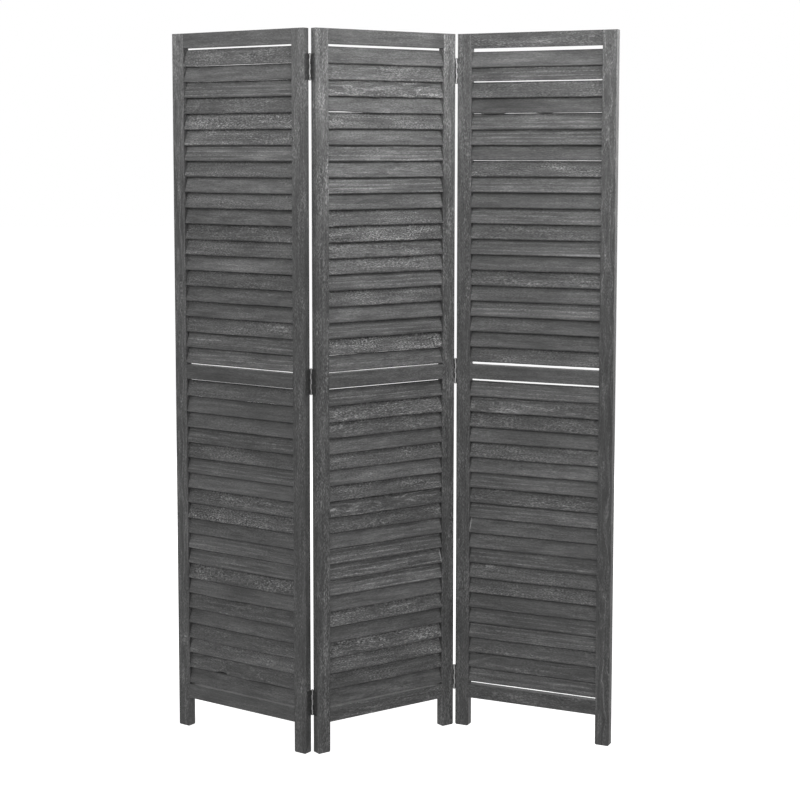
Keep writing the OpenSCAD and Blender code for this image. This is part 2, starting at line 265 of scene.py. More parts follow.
class WoodGrain(NodeGroup):
    """Stained open-grained wood, worked out in three dimensions, so that end grain comes out of itself.

    The vector runs along, across and through the grain in metres, with the pith on its first axis. Tone
    is in stops of light. A scale is features to the metre along, across and through the grain, a share
    is the most that a feature adds to the tone, and a ramp is a smooth step of the noise.
    """

    name = "Wood_Grain"
    inputs = {
        "Grain": "Vector",
        "Warp": "Float",
        "Fleck": "Float",
        "Rings": "Float",
        "Curl": "Float",
        "Contrast": "Float",
    }
    outputs = {"Tone": "Float", "Flecks": "Float", "Relief": "Float"}
    ring_spacing = 4.6 * MM
    bend_scale = (9.0, 34.0, 34.0)
    curl_scale = (70.0, 150.0, 150.0)
    dash_scale = (180.0, 620.0, 620.0)
    patch_scale = (10.0, 34.0, 34.0)
    fibre_scale = (70.0, 800.0, 800.0)
    streak_scale = (8.0, 250.0, 250.0)
    band_scale = (14.0, 90.0, 90.0)
    cloud_scale = (6.0, 26.0, 26.0)
    fleck_ramp = (0.5, 0.7)
    pore_ramp = (0.5, 0.3)
    line_ramp = (0.5, 1.0)
    patch_ramp = (0.35, 0.65, 0.45, 1.0)
    broken_ramp = (0.3, 0.62, 0.3, 1.0)
    patch_middle = 0.75
    fleck_share = 1.7
    pore_share = -1.4
    line_share = 1.2
    fibre_share = 1.8
    band_share = 1.5
    cloud_share = 1.3
    patch_share = 0.5
    ring_share = -0.2
    streak_share = 0.7
    ring_streak_share = 1.6
    dash_relief = 1.1
    line_relief = 0.3

    @classmethod
    def build(cls, tree: ShaderTree, given: dict[str, Socket]) -> dict[str, Socket]:
        """Builds the group's nodes.

        Args:
            tree: where the nodes go.
            given: the group's inputs by name.

        Returns:
            What each of the group's outputs puts out.
        """
        grain = given["Grain"]
        along, across, through = tree.parts(grain)

        bend = tree.times(tree.swing(grain, cls.bend_scale), given["Warp"], 2.0)
        curl = tree.times(tree.swing(grain, cls.curl_scale, 1.0), given["Curl"], 2.0)
        reach = tree.plus(tree.times(across, across), tree.times(through, through))
        radius = tree.plus(tree.math("SQRT", reach), bend, curl)
        year = tree.math("PINGPONG", tree.math("DIVIDE", radius, cls.ring_spacing), 1.0)

        followed = tree.join(along, tree.plus(across, bend, curl), through)
        dashes = tree.noise(followed, cls.dash_scale)
        patches = tree.ramp(tree.noise(grain, cls.patch_scale, 1.0), *cls.patch_ramp)
        flecks = tree.times(tree.ramp(dashes, *cls.fleck_ramp), given["Fleck"], patches)
        pores = tree.times(tree.ramp(dashes, *cls.pore_ramp), given["Fleck"], patches)
        broken = tree.ramp(dashes, *cls.broken_ramp)
        line = tree.times(tree.ramp(year, *cls.line_ramp), given["Rings"], broken)
        streaks = tree.plus(tree.times(given["Rings"], cls.ring_streak_share), cls.streak_share)

        tone = tree.plus(
            tree.times(flecks, cls.fleck_share),
            tree.times(pores, cls.pore_share),
            tree.times(line, cls.line_share),
            tree.times(tree.swing(followed, cls.fibre_scale, 3.0), cls.fibre_share),
            tree.times(tree.swing(followed, cls.streak_scale), streaks),
            tree.times(tree.swing(followed, cls.band_scale), cls.band_share),
            tree.times(tree.swing(grain, cls.cloud_scale), cls.cloud_share),
            tree.times(given["Fleck"], tree.plus(patches, -cls.patch_middle), cls.patch_share),
            tree.times(given["Rings"], cls.ring_share),
        )
        relief = tree.plus(tree.times(dashes, cls.dash_relief), tree.times(line, cls.line_relief))
        return {"Tone": tree.times(tone, given["Contrast"]), "Flecks": flecks, "Relief": relief}


class ArrisWear(NodeGroup):
    """Where the stain is rubbed off the rounded arrises of straight stock, from its normal."""

    name = "Arris_Wear"
    inputs = {"Normal": "Vector", "Grain": "Vector"}
    outputs = {"Wear": "Float"}
    patch_scale = (60.0, 90.0, 90.0)
    patch_ramp = (0.48, 0.68)
    round_ramp = (0.99, 0.8)

    @classmethod
    def build(cls, tree: ShaderTree, given: dict[str, Socket]) -> dict[str, Socket]:
        """Builds the group's nodes.

        Args:
            tree: where the nodes go.
            given: the group's inputs by name.

        Returns:
            What each of the group's outputs puts out.
        """
        sizes = [tree.math("ABSOLUTE", part) for part in tree.parts(given["Normal"])]
        flattest = tree.math("MAXIMUM", tree.math("MAXIMUM", sizes[0], sizes[1]), sizes[2])
        rounded = tree.ramp(flattest, *cls.round_ramp)
        patchy = tree.ramp(tree.noise(given["Grain"], cls.patch_scale, 4.0), *cls.patch_ramp)
        return {"Wear": tree.times(rounded, patchy)}


def grey(level: float) -> Colour:
    """Makes a neutral colour of a linear level."""
    return (level, level, level, 1.0)


@dataclass(frozen=True)
class StainedWood:
    """Charcoal stain on open-grained wood.

    Attributes:
        deep, ground, bright: the darkest, the usual and the lightest level, linear.
        roughness, fleck_roughness: how rough the wood is, and how rough its flecks are.
        specular: its specular level.
        relief, relief_depth: how much of the grain's relief shows, and how deep that is.
        worn: how many stops lighter it is where the stain is rubbed off.
    """

    deep: float = 0.022
    ground: float = 0.102
    bright: float = 0.42
    roughness: float = 0.56
    fleck_roughness: float = 0.7
    specular: float = 0.3
    relief: float = 0.35
    relief_depth: float = 0.5 * MM
    worn: float = 0.8

    def finish(self, tree: ShaderTree, grain: bpy.types.Node, tone: Value, wear: Value) -> None:
        """Turns the worked-out grain into colour, gloss and relief.

        Args:
            tree: the material's nodes.
            grain: the placed Wood_Grain group.
            tone: how many stops lighter this piece of wood is.
            wear: how far the stain is rubbed off, from 0 to 1.
        """
        stops = tree.plus(grain.outputs["Tone"], tone, tree.times(wear, self.worn))
        level = tree.times(tree.math("POWER", 2.0, stops), self.ground)
        level = tree.math("MINIMUM", tree.math("MAXIMUM", level, self.deep), self.bright)
        rough = tree.ramp(grain.outputs["Flecks"], 0.0, 1.0, self.roughness, self.fleck_roughness)
        normal = tree.bump(grain.outputs["Relief"], self.relief, self.relief_depth)
        tree.surface(
            {"Base Color": level, "Roughness": rough, "Specular IOR Level": self.specular, "Normal": normal}
        )


@dataclass(frozen=True)
class Steel:
    """Hinge steel: its lacquer or plating, rubbed bright in places, with fine scratches.

    Attributes:
        coat, bare: how light the coat and the rubbed places are, linear.
        coat_metallic, bare_metallic: how metallic they are.
        coat_roughness, bare_roughness: how rough they are.
        specular: the specular level.
        scratch_scale, stain_scale: scratches and stains to the metre along each axis.
        scratch_ramp, bare_ramp, patch_ramp, shade_ramp: smooth steps of that noise to scratches, to
            rubbed stains, to the patchy rubbing of a knuckle, and to the shades of the coat.
        scratch_roughness: how much rougher a scratch is.
        scratch_relief, scratch_depth: how much of the scratches' relief shows, and how deep that is.
        knuckle: between which distances from the pin's axis the rubbing on a knuckle sets in.
        flank: the same to the side of the axis.
    """

    coat: float
    bare: float
    coat_metallic: float
    coat_roughness: float
    bare_metallic: float = 0.35
    bare_roughness: float = 0.4
    specular: float = 0.4
    scratch_scale: Triple = (900.0, 900.0, 120.0)
    stain_scale: Triple = (160.0, 160.0, 160.0)
    scratch_ramp: tuple[float, ...] = (0.5, 0.7)
    bare_ramp: tuple[float, ...] = (0.58, 0.74)
    patch_ramp: tuple[float, ...] = (0.3, 0.6, 0.6, 1.0)
    shade_ramp: tuple[float, ...] = (0.3, 0.75, 0.75, 1.2)
    scratch_roughness: float = 0.12
    scratch_relief: float = 0.15
    scratch_depth: float = 0.05 * MM
    knuckle: Pair = (2.9 * MM, 2.3 * MM)
    flank: Pair = (-0.9 * MM, -0.2 * MM)

    def material(self, name: str, pin: Vector | None = None, side: float = 0.0) -> bpy.types.Material:
        """Makes the material.

        Args:
            name: the material's name.
            pin: a point of the upright hinge axis, near which the metal is rubbed bright.
            side: 1 where that is to the right of the axis only, -1 where it is to the left.

        Returns:
            The material.
        """
        material, tree = new_material(name)
        position = tree.add("TexCoord").outputs["Object"]
        scratches = tree.ramp(tree.noise(position, self.scratch_scale, 4.0), *self.scratch_ramp)
        stains = tree.noise(position, self.stain_scale, 3.0)
        rubbed = tree.times(tree.ramp(stains, *self.bare_ramp), scratches, 0.5)
        if pin is not None:
            away = tree.vector("SUBTRACT", position, tuple(pin))
            flat = tree.vector("MULTIPLY", away, (1.0, 1.0, 0.0))
            distance = tree.add("VectorMath", {0: flat}, operation="LENGTH").outputs["Value"]
            near = tree.ramp(distance, *self.knuckle)
            facing = tree.ramp(tree.times(tree.parts(away)[0], side), *self.flank)
            patchy = tree.ramp(stains, *self.patch_ramp)
            rubbed = tree.math("MAXIMUM", rubbed, tree.times(near, facing, patchy))
        shade = tree.ramp(stains, *self.shade_ramp)
        colour = tree.mix(rubbed, tree.times(shade, self.coat), grey(self.bare))
        metallic = tree.ramp(rubbed, 0.0, 1.0, self.coat_metallic, self.bare_metallic)
        rough = tree.plus(
            tree.ramp(rubbed, 0.0, 1.0, self.coat_roughness, self.bare_roughness),
            tree.times(scratches, self.scratch_roughness),
        )
        tree.surface(
            {
                "Base Color": colour,
                "Metallic": metallic,
                "Roughness": rough,
                "Specular IOR Level": self.specular,
                "Normal": tree.bump(scratches, self.scratch_relief, self.scratch_depth),
            }
        )
        return material


def new_material(name: str) -> tuple[bpy.types.Material, ShaderTree]:
    """Makes an empty node material.

    Args:
        name: its name.

    Returns:
        The material and its nodes.
    """
    material = bpy.data.materials.new(name)
    material.use_nodes = True
    material.node_tree.nodes.clear()
    return material, ShaderTree(material.node_tree)


@dataclass(frozen=True)
class GrainFigure:
    """How a board was cut from the log, and what its face shows.

    Attributes:
        pith_across: how far the log's pith is from the board's middle, across its face.
        pith_below: how far behind the face it is.
        warp: how far the year rings wander.
        fleck: how strong the flecks and pores are.
        rings: how strong the lines of the year rings are.
        curl: how far the fibres curl.
    """

    pith_across: float
    pith_below: float
    warp: float
    fleck: float
    rings: float
    curl: float


class Figure(Enum):
    """Figures of the wood. The cutting lists write the first letter of the name."""

    PLAIN = GrainFigure(90 * MM, 40 * MM, 5 * MM, 0.3, 0.12, 0.6 * MM)
    STRAIGHT = GrainFigure(160 * MM, 50 * MM, 2.5 * MM, 0.3, 0.55, 0.3 * MM)
    FLECKED = GrainFigure(60 * MM, 30 * MM, 7 * MM, 0.7, 0.2, 1.6 * MM)
    DENSE = GrainFigure(30 * MM, 24 * MM, 10 * MM, 1.0, 0.3, 3.0 * MM)
    CATHEDRAL = GrainFigure(4 * MM, 10 * MM, 16 * MM, 0.5, 0.65, 0.8 * MM)
    RIPPLED = GrainFigure(40 * MM, 20 * MM, 6 * MM, 1.0, 0.25, 5.5 * MM)

    @classmethod
    def from_letter(cls, letter: str) -> "Figure":
        """Looks a figure up by its letter in a cutting list."""
        return next(figure for figure in cls if figure.name.lower().startswith(letter))


BOARD_TONES = {"": 0.0, "+": 0.2, "-": -0.2}


@dataclass(frozen=True)
class Board:
    """One entry of a cutting list: a figure, and how many stops lighter the board came out."""

    figure: Figure
    tone: float

    @classmethod
    def read(cls, entry: str) -> "Board":
        """Reads an entry: a figure's letter, then + for a light board or - for a dark one."""
        return cls(Figure.from_letter(entry[0]), BOARD_TONES[entry[1:]])


@dataclass(frozen=True)
class EdgeMark:
    """A stretch of a slat's lower edge that isn't straight.

    Attributes:
        slat: the slat, counted from the top of its panel.
        start, end: the stretch, as shares of the slat's length from its left end.
        drop: how much lower the edge reaches there; below 0 it is cut away.
        ragged: how much the edge jumps about.
        rubbed: how far the stain is rubbed off it, from 0 to 1.
    """

    slat: int
    start: float
    end: float
    drop: float
    ragged: float = 0.0
    rubbed: float = 0.0


@dataclass(frozen=True)
class Patch:
    """A lighter or darker cloud on a slat: most are clouds in its stain, a few are painted shade and painted
    light under a neighbour's edge.

    Attributes:
        slat: the slat, counted from the top of its panel.
        at: its middle, as a share of the slat's length from its left end.
        reach: how far it spreads from there, as a share of the slat's length.
        stops: how much lighter it is.
        up: how high its middle is, from -1 at the lower edge to 1 at the upper one.
        tall: how far it spreads up and down, in the same measure.
    """

    slat: int
    at: float
    reach: float
    stops: float
    up: float = 0.0
    tall: float = 0.8


@dataclass
class Panel:
    """One panel of the screen: where it stands, and the boards that it was made from.

    Attributes:
        name: also the CAD body's name.
        turn: its turn about the vertical, in degrees.
        slat_boards: forty entries, from the top slat to the bottom one.
        frame_boards: left stile, right stile, top rail, middle rail and bottom rail.
        marks: what is irregular about the slats' lower edges.
        patches: clouds in their stain, and on the left panel's slat 40 painted shade and painted light under
            slat 39's edge.
        contrast: how strongly its wood is figured.
        corner: its lower left front corner, found from its left stile.
    """

    name: str
    turn: float
    slat_boards: str
    frame_boards: str
    marks: tuple[EdgeMark, ...] = ()
    patches: tuple[Patch, ...] = ()
    contrast: float = 1.0
    corner: Vector = field(default_factory=Vector)

    @property
    def angle(self) -> float:
        """Gives the turn in radians."""
        return math.radians(self.turn)

    def locate(self, nodes: Nodes) -> None:
        """Finds the panel's corner in the frame.

        Args:
            nodes: the frame's nodes.
        """
        points = self.flatten(node_points(nodes[f"{self.name}_left_stile"]))
        low = points.min(axis=0)
        self.corner = Vector(self.stand(low[None, :])[0])

    def flatten(self, points: np.ndarray) -> np.ndarray:
        """Turns points into the panel's own frame.

        Args:
            points: points of the shared frame, one row each.

        Returns:
            The same points along the panel's width, into its depth, and up.
        """
        c, s = math.cos(self.angle), math.sin(self.angle)
        x, y, z = (points - np.array(self.corner)).T
        return np.stack([c * x + s * y, c * y - s * x, z], 1)

    def stand(self, points: np.ndarray) -> np.ndarray:
        """Turns points out of the panel's own frame.

        Args:
            points: points along the panel's width, into its depth, and up, one row each.

        Returns:
            The same points in the shared frame.
        """
        c, s = math.cos(self.angle), math.sin(self.angle)
        x, y, z = points.T
        return np.stack([c * x - s * y, s * x + c * y, z], 1) + np.array(self.corner)


def node_points(node: bpy.types.Object) -> np.ndarray:
    """Reads a CAD node's mesh.

    Args:
        node: the node's object.

    Returns:
        Its vertices, one row each.
    """
    points = np.empty(len(node.data.vertices) * 3, np.float32)
    node.data.vertices.foreach_get("co", points)
    return points.reshape(-1, 3).astype(float)


PANELS = (
    Panel(
        "left_panel",
        -35.5,
        "f p s- f- d+ f s+ f p+ f p- f- f p f- p- p f s s+ "
        "f p- p s- f s p+ f d p s+ s r p+ c- p f f+ c- p",
        "c f- p p- p",
        marks=(
            EdgeMark(1, 0.0, 1.0, 0.0016, 0.0002, 0.4),
            EdgeMark(1, 0.02, 0.14, 0.0004, 0.0004, 1.0),
            EdgeMark(2, 0.0, 0.15, 0.0, 0.0002, 0.9),
            EdgeMark(6, 0.0, 0.16, 0.0, 0.0002, 0.9),
            EdgeMark(18, 0.3, 0.45, 0.0, 0.0003, 1.0),
            EdgeMark(22, 0.50, 0.66, 0.0005, 0.0003),
            EdgeMark(28, 0.38, 0.66, 0.0012, 0.0004),
            EdgeMark(32, 0.05, 0.30, 0.0004, 0.0002),
            EdgeMark(34, 0.17, 0.52, 0.0014, 0.0005),
            EdgeMark(35, 0.30, 0.98, 0.0011, 0.0002),
            EdgeMark(36, 0.36, 0.98, 0.0012, 0.0004),
            EdgeMark(37, 0.22, 0.84, 0.0015, 0.0005),
            EdgeMark(39, 0.27, 0.37, -0.004, 0.0006),
            EdgeMark(39, 0.40, 0.66, 0.0014, 0.0004, 0.5),
            EdgeMark(40, 0.0, 1.0, 0.0022),
        ),
        patches=(
            Patch(3, 0.55, 0.3, 0.25),
            Patch(5, 0.12, 0.12, 0.3, -0.6),
            Patch(6, 0.1, 0.1, 0.45, -0.4),
            Patch(12, 0.15, 0.18, -0.3),
            Patch(19, 0.15, 0.15, 0.35),
            Patch(25, 0.5, 0.2, 0.25, -0.6),
            Patch(31, 0.2, 0.2, 0.35, -0.5),
            Patch(34, 0.5, 0.12, -0.35, -0.4),
            # Painted shade and light on slat 40 under slat 39: a painted shadow under the chip, a painted lit
            # line below it, and painted shade under the proud stretch of slat 39's edge.
            Patch(40, 0.32, 0.05, -2.5, 0.85, 0.2),
            Patch(40, 0.32, 0.06, 1.4, 0.45, 0.17),
            Patch(40, 0.76, 0.12, -1.5, 0.8, 0.25),
        ),
    ),
    Panel(
        "middle_panel",
        35.0,
        "p f+ c p+ f p s p+ s p- f- d f f+ s f p s d p "
        "s- f f p f p+ f c f p+ s s+ s+ p+ f+ p d+ f f- p",
        "f f p p c",
        marks=(
            EdgeMark(1, 0.0, 1.0, 0.0008, 0.0001),
            EdgeMark(2, 0.0, 0.08, 0.0006, 0.0008, 1.0),
            EdgeMark(3, 0.0, 0.98, 0.0, 0.0003, 0.7),
            EdgeMark(3, 0.39, 0.46, 0.0020, 0.0010, 0.6),
            EdgeMark(4, 0.0, 0.22, -0.0013, 0.0001),
            EdgeMark(4, 0.3, 1.0, 0.0013, 0.0003),
            EdgeMark(4, 0.4, 0.46, 0.0008, 0.0008),
            EdgeMark(5, 0.0, 0.09, 0.0008, 0.0010, 0.7),
            EdgeMark(11, 0.0, 0.07, 0.0012, 0.0006, 1.0),
            EdgeMark(12, 0.28, 0.36, 0.0008, 0.0004),
            EdgeMark(14, 0.5, 0.68, 0.0, 0.0004, 0.9),
            EdgeMark(18, 0.44, 0.80, 0.0006, 0.0002),
            EdgeMark(28, 0.20, 0.45, 0.0005, 0.0003),
            EdgeMark(39, 0.35, 0.62, 0.0008, 0.0002),
            EdgeMark(40, 0.0, 1.0, 0.0022),
        ),
        patches=(
            Patch(1, 0.4, 0.3, 0.3, 0.8),
            Patch(3, 0.85, 0.15, 0.3),
            Patch(6, 0.85, 0.12, 0.35, -0.6),
            Patch(10, 0.85, 0.14, 0.3),
            Patch(22, 0.1, 0.12, 0.15),
            Patch(27, 0.85, 0.15, -0.25),
            Patch(32, 0.9825, 0.006, 3.8, 0.0, 0.9),
            Patch(39, 0.1, 0.12, -0.3),
        ),
        contrast=1.2,
    ),
    Panel(
        "right_panel",
        -25.5,
        "p+ s f p- s+ s+ p- f+ s+ p- s+ f s p f p s+ p- p- f "
        "s+ c+ f- p- f+ p+ s f- s p p s- f f p- s- s f c- s-",
        "f c- f p+ f",
        marks=(
            EdgeMark(4, 0.09, 0.28, 0.0014, 0.0005),
            EdgeMark(4, 0.50, 0.63, 0.0010, 0.0004),
            EdgeMark(6, 0.10, 0.28, -0.0004, 0.0012, 0.8),
            EdgeMark(7, 0.0, 1.0, -0.0009),
            EdgeMark(10, 0.965, 1.0, -0.002),
            EdgeMark(13, 0.57, 1.0, -0.0003, 0.0003, 0.9),
            EdgeMark(22, 0.30, 0.42, 0.0005, 0.0002),
            EdgeMark(36, 0.56, 0.82, -0.0008, 0.0004),
            EdgeMark(37, 0.22, 0.42, 0.0007, 0.0003),
        ),
        patches=(
            Patch(1, 0.3, 0.3, 0.4),
            Patch(1, 0.8, 0.2, -0.2),
            Patch(4, 0.22, 0.3, -0.7),
            Patch(4, 0.95, 0.25, -0.6),
            Patch(13, 0.8, 0.22, 1.4, -0.85, 0.12),
            Patch(15, 0.8, 0.2, 0.2),
            Patch(30, 0.0175, 0.006, 4.2, 0.0, 0.9),
            Patch(33, 0.17, 0.028, 2.1, 0.567, 0.15),
        ),
    ),
)


# The vectors that a slat's mesh carries for its material.
SLAT_VECTORS = ("grain", "figure", "surface")


@dataclass
class SlatPlace:
    """Where one slat lies, in its panel's frame.

    Attributes:
        number: counted from the top of the panel.
        start: its left end across the panel.
        end: its right end.
        depth: how far behind the panel's front the middle of its section is.
        height: how high that middle is.
    """

    number: int
    start: float
    end: float
    depth: float
    height: float

    @property
    def length(self) -> float:
        """Gives the slat's length."""
        return self.end - self.start


@dataclass
class Slats:
    """The forty slats of a panel, in the four pieces that replace the CAD model's slat nodes.

    Attributes:
        panel: their panel.
        seed: starts their random numbers.
        lean: how far they lean back.
        width, thickness: their section.
        edge_steps, face_steps: how many faces a rounded edge and a flat face have round the section.
        station, fine_station: how far apart sections stand on a plain stretch and on a marked one.
        closest: how close two sections may come, as a share of the fine distance.
        bow: how far a slat bends, as a rule.
        swelling: how much its thickness varies, as a share.
        waviness: how far its lower edge waves.
        waves: the waves to a slat's length and their share of the waviness.
        long_mark: from what share of a slat's length a mark is a long one.
        tapers: how bluntly a mark's drop sets in, for a short mark and for a long one.
        loose_from, loose_over: from where below its middle a slat follows its wavy edge, and over what
            stretch it does so more and more, as shares of half its width.
        rubbed_band, rubbed_fade: how wide the rubbed band along an edge is, and how wide its blurred side.
        rubbed_most: how far the stain is rubbed off an edge without a mark at most.
        tone_spread: how many stops the boards of one tone vary by.
        log_reach: how far from its log's middle a slat may be cut, in metres.
        pith_span, depth_span: the shares of its figure's distances that a slat's pith may lie at.
        contrast_span: the shares of the panel's contrast that a slat may have.
        pace_span: the shares of a wave's count that it may run at.
        swell_span: how many waves of thickness there may be to a slat.
        sections: the last words of the CAD nodes' names, from the top.
    """

    panel: Panel
    seed: int
    lean: float = math.radians(19.0)
    width: float = 40 * MM
    thickness: float = 6 * MM
    edge_steps: int = 8
    face_steps: int = 6
    station: float = 6 * MM
    fine_station: float = 1.2 * MM
    closest: float = 0.4
    bow: float = 0.24 * MM
    swelling: float = 0.02
    waviness: float = 0.3 * MM
    waves: tuple[tuple[float, float], ...] = ((1.5, 0.5), (4.0, 0.3), (9.0, 0.2), (22.0, 0.16))
    long_mark: float = 0.5
    tapers: Pair = (0.5, 0.12)
    loose_from: float = 0.35
    loose_over: float = 0.6
    rubbed_band: float = 2.4 * MM
    rubbed_fade: float = 1.8 * MM
    rubbed_most: float = 0.6
    tone_spread: float = 0.06
    log_reach: float = 9.0
    pith_span: Pair = (0.7, 1.3)
    depth_span: Pair = (0.8, 1.4)
    contrast_span: Pair = (0.85, 1.2)
    pace_span: Pair = (0.8, 1.25)
    swell_span: Pair = (0.6, 1.4)
    sections: tuple[str, ...] = ("top", "upper", "lower", "bottom")

    def build(self, nodes: Nodes, material: bpy.types.Material) -> list[bpy.types.Object]:
        """Builds, dresses and hangs the panel's slats.

        Args:
            nodes: the frame's nodes, from which each slat's place is taken.
            material: the slats' wood.

        Returns:
            The four new pieces.
        """
        boards = [Board.read(entry) for entry in self.panel.slat_boards.split()]
        random = np.random.default_rng(self.seed)
        pieces = []
        number = 0
        for section in self.sections:
            node_name = f"{self.panel.name}_slats_{section}"
            places = self.find_places(nodes[node_name], number)
            number += len(places)
            meshes = [self.slat(place, boards[place.number - 1], random) for place in places]
            piece = self.join(f"{self.panel.name}_louvres_{section}", meshes)
            piece.data.materials.append(material)
            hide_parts(node_name)
            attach(piece, self.panel.name)
            pieces.append(piece)
        return pieces

    def find_places(self, node: bpy.types.Object, number: int) -> list[SlatPlace]:
        """Finds the slats of a CAD node.

        The slats overlap in height, but not square to their faces, so they are told apart along that line.

        Args:
            node: the CAD node, which holds some slats of one panel.
            number: how many slats of the panel are above it.

        Returns:
            The node's slats, from the top one down.
        """
        points = self.panel.flatten(node_points(node))
        square = points[:, 1] * math.cos(self.lean) - points[:, 2] * math.sin(self.lean)
        order = np.argsort(square)
        splits = np.nonzero(np.diff(square[order]) > self.thickness / 4)[0] + 1
        groups = [points[chosen] for chosen in np.split(order, splits)]
        boxes = sorted(((g.min(axis=0), g.max(axis=0)) for g in groups), key=lambda box: -box[0][2])
        return [
            SlatPlace(number + i + 1, low[0], high[0], (low[1] + high[1]) / 2, (low[2] + high[2]) / 2)
            for i, (low, high) in enumerate(boxes)
        ]

    def outline(self) -> np.ndarray:
        """Draws a slat's section, a bar with half-round edges.

        Returns:
            Its points, as distances up the slat and out of its front face.
        """
        radius = self.thickness / 2
        core = self.width / 2 - radius
        points = []
        for centre, start in ((-core, math.pi), (core, 0.0)):
            for i in range(self.edge_steps + 1):
                angle = start + math.pi * i / self.edge_steps
                points.append((centre + radius * math.sin(angle), radius * math.cos(angle)))
            for i in range(1, self.face_steps):
                along = (1 if start else -1) * core * (2 * i / self.face_steps - 1)
                points.append((along, radius if start else -radius))
        return np.array(points)

    def stations(self, place: SlatPlace, marks: list[EdgeMark]) -> np.ndarray:
        """Chooses where along a slat its sections stand, closer together where the edge is marked.

        Args:
            place: where the slat lies.
            marks: its edge's marks.

        Returns:
            Shares of its length, from 0 to 1.
        """
        shares = list(np.linspace(0.0, 1.0, int(place.length / self.station) + 1))
        for mark in marks:
            steps = max(2, int((mark.end - mark.start) * place.length / self.fine_station))
            shares += list(np.linspace(mark.start, mark.end, steps))
        shares = np.unique(np.round(shares, 5))
        gap = self.closest * self.fine_station / place.length
        shares = shares[np.concatenate([[True], np.diff(shares) > gap])]
        shares[-1] = 1.0
        return shares

    def edge_drop(self, shares: np.ndarray, marks: list[EdgeMark], random: np.random.Generator) -> np.ndarray:
        """Works out how much lower than straight a slat's lower edge runs.

        Args:
            shares: where its sections stand.
            marks: its edge's marks.
            random: the panel's random numbers.

        Returns:
            The drop at each section.
        """
        drop = np.zeros_like(shares)
        for waves, size in self.waves:
            phase, pace = random.uniform(0, 2 * math.pi), random.uniform(*self.pace_span)
            drop += self.waviness * size * np.sin(2 * math.pi * waves * pace * shares + phase)
        for mark in marks:
            inside = (shares >= mark.start) & (shares <= mark.end)
            middle = np.clip((shares - mark.start) / (mark.end - mark.start), 0.0, 1.0)
            taper = self.tapers[0 if mark.end - mark.start < self.long_mark else 1]
            swell = np.sin(middle * math.pi) ** taper
            drop += np.where(inside, swell * mark.drop, 0.0)
            if mark.ragged:
                jumps = np.convolve(random.uniform(-1.0, 1.0, len(shares)), (0.25, 0.5, 0.25), mode="same")
                drop += np.where(inside, swell * mark.ragged * jumps, 0.0)
        return drop

    def stain_and_painted_shade(self, place: SlatPlace, shares: np.ndarray, up: np.ndarray) -> np.ndarray:
        """Works out the clouds in a slat's stain, and the painted shade and painted light that some patches
        add.

        Args:
            place: where the slat lies.
            shares: where its sections stand.
            up: how high each point of the section is, from -1 to 1.

        Returns:
            Stops of light at each section and each of its points.
        """
        stops = np.zeros((len(shares), len(up)))
        for patch in (p for p in self.panel.patches if p.slat == place.number):
            along = ((shares - patch.at) / patch.reach)[:, None]
            across = ((up - patch.up) / patch.tall)[None, :]
            stops += patch.stops * np.exp(-(along**2) - across**2)
        return stops

    def slat(self, place: SlatPlace, board: Board, random: np.random.Generator) -> dict[str, object]:
        """Builds one slat as a closed loft along its length.

        Args:
            place: where it lies.
            board: its wood.
            random: the panel's random numbers.

        Returns:
            Its points in the shared frame, its faces, and the values that its material reads.
        """
        marks = [mark for mark in self.panel.marks if mark.slat == place.number]
        shares = self.stations(place, marks)
        section = self.outline()
        half = self.width / 2
        loose = np.clip((-section[:, 0] - self.loose_from * half) / (self.loose_over * half), 0.0, 1.0)
        drop = self.edge_drop(shares, marks, random)
        bulge = 4 * shares * (1 - shares)
        rise = bulge * random.normal(0.0, self.bow)
        push = bulge * random.normal(0.0, self.bow)
        turns = shares * random.uniform(*self.swell_span) + random.uniform()
        swell = 1.0 + self.swelling * np.sin(2 * math.pi * turns)

        up = section[None, :, 0] + rise[:, None] - drop[:, None] * loose[None, :]
        out = section[None, :, 1] * swell[:, None] + push[:, None]
        x = np.broadcast_to((place.start + shares * place.length)[:, None], up.shape)
        s, c = math.sin(self.lean), math.cos(self.lean)
        flat = np.stack([x, place.depth + up * s - out * c, place.height + up * c + out * s], axis=2)

        figure = board.figure.value
        side = 1.0 if random.uniform() < 0.5 else -1.0
        pith = side * figure.pith_across * random.uniform(*self.pith_span)
        below = figure.pith_below * random.uniform(*self.depth_span)
        along = random.uniform(-self.log_reach, self.log_reach)
        grain = np.stack([x + along, up + pith, out + below], axis=2)

        into_band = np.abs(section[:, 0]) - half + self.rubbed_band
        near_edge = np.clip(into_band / self.rubbed_fade, 0.0, 1.0)
        rubbed = np.full(len(shares), random.uniform(0.0, self.rubbed_most))
        for mark in marks:
            inside = (shares >= mark.start) & (shares <= mark.end)
            rubbed = np.maximum(rubbed, np.where(inside, mark.rubbed, 0.0))
        tone = board.tone + random.normal(0.0, self.tone_spread)
        tone = tone + self.stain_and_painted_shade(place, shares, section[:, 0] / half)
        wear = rubbed[:, None] * near_edge[None, :]
        curl = np.full(up.shape, figure.curl / MM)
        own = np.random.default_rng(1000 * self.seed + place.number)
        contrast = self.panel.contrast * own.uniform(*self.contrast_span)
        return {
            "points": self.panel.stand(flat.reshape(-1, 3)),
            "faces": self.loft_faces(len(shares), len(section)),
            "grain": grain.reshape(-1, 3),
            "figure": np.tile([figure.warp / MM, figure.fleck, figure.rings], (up.size, 1)),
            "surface": np.stack([tone, curl, wear], axis=2).reshape(-1, 3),
            "contrast": np.full(up.size, contrast),
        }

    @staticmethod
    def loft_faces(stations: int, around: int) -> list[tuple[int, ...]]:
        """Lists the faces of a loft with flat ends, wound outwards.

        Args:
            stations: how many sections it has.
            around: how many points each section has.

        Returns:
            The faces, as numbers of points.
        """
        faces = []
        for i in range(stations - 1):
            for j in range(around):
                a, b = i * around + j, i * around + (j + 1) % around
                faces.append((a, b, b + around, a + around))
        faces.append(tuple(reversed(range(around))))
        faces.append(tuple(range((stations - 1) * around, stations * around)))
        return faces

